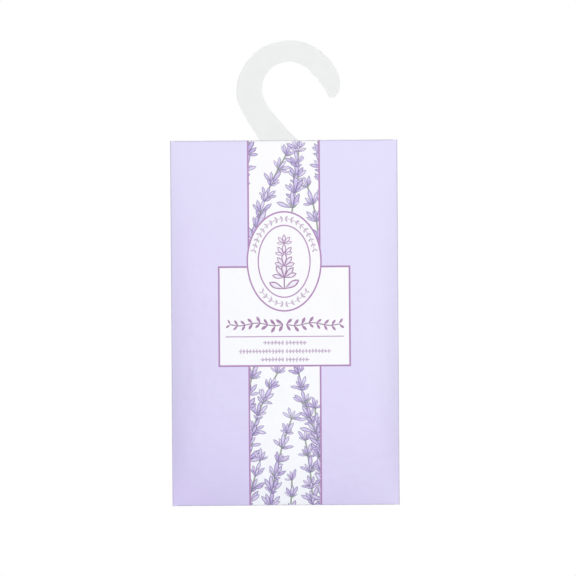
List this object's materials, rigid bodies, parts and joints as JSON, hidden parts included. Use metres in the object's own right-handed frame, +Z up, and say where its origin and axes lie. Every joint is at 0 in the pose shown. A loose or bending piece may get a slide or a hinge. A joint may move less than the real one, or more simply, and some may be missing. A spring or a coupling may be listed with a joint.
{
  "type": "hanging scented sachet",
  "caption": "Flat paper envelope of scented granules with a printed band and label, and a folding film hook that hangs it on a wardrobe rail.",
  "frame": {"origin": "the point under the hook's arch that bears on a rail, in the middle of the film's thickness", "axes": "+Z up as it hangs, -Y out of the printed front, +X to the right as the front is seen"},
  "size_m": [0.1149, 0.0124, 0.2356],
  "materials": {
    "printed_paper": "matte",
    "mineral_granules": "matte",
    "dried_paste": "satin",
    "frosted_film": "satin",
    "adhesive_tape": "satin"
  },
  "bodies": {
    "pouch": {"paper_envelope": "printed_paper", "scented_granules": "mineral_granules", "centre_seam_glue": "dried_paste", "bottom_flap_glue": "dried_paste", "top_flap_glue": "dried_paste", "hook_base": "frosted_film", "hook_tape": "adhesive_tape"},
    "hook": {"hook": "frosted_film"}
  },
  "joints": [
    {"name": "hook_fold", "type": "hinge", "parent": "pouch", "child": "hook", "pos_m": [-0.0047, 0.00038, -0.041], "axis": [-1, 0, 0], "range_deg": [0, 175]}
  ]
}
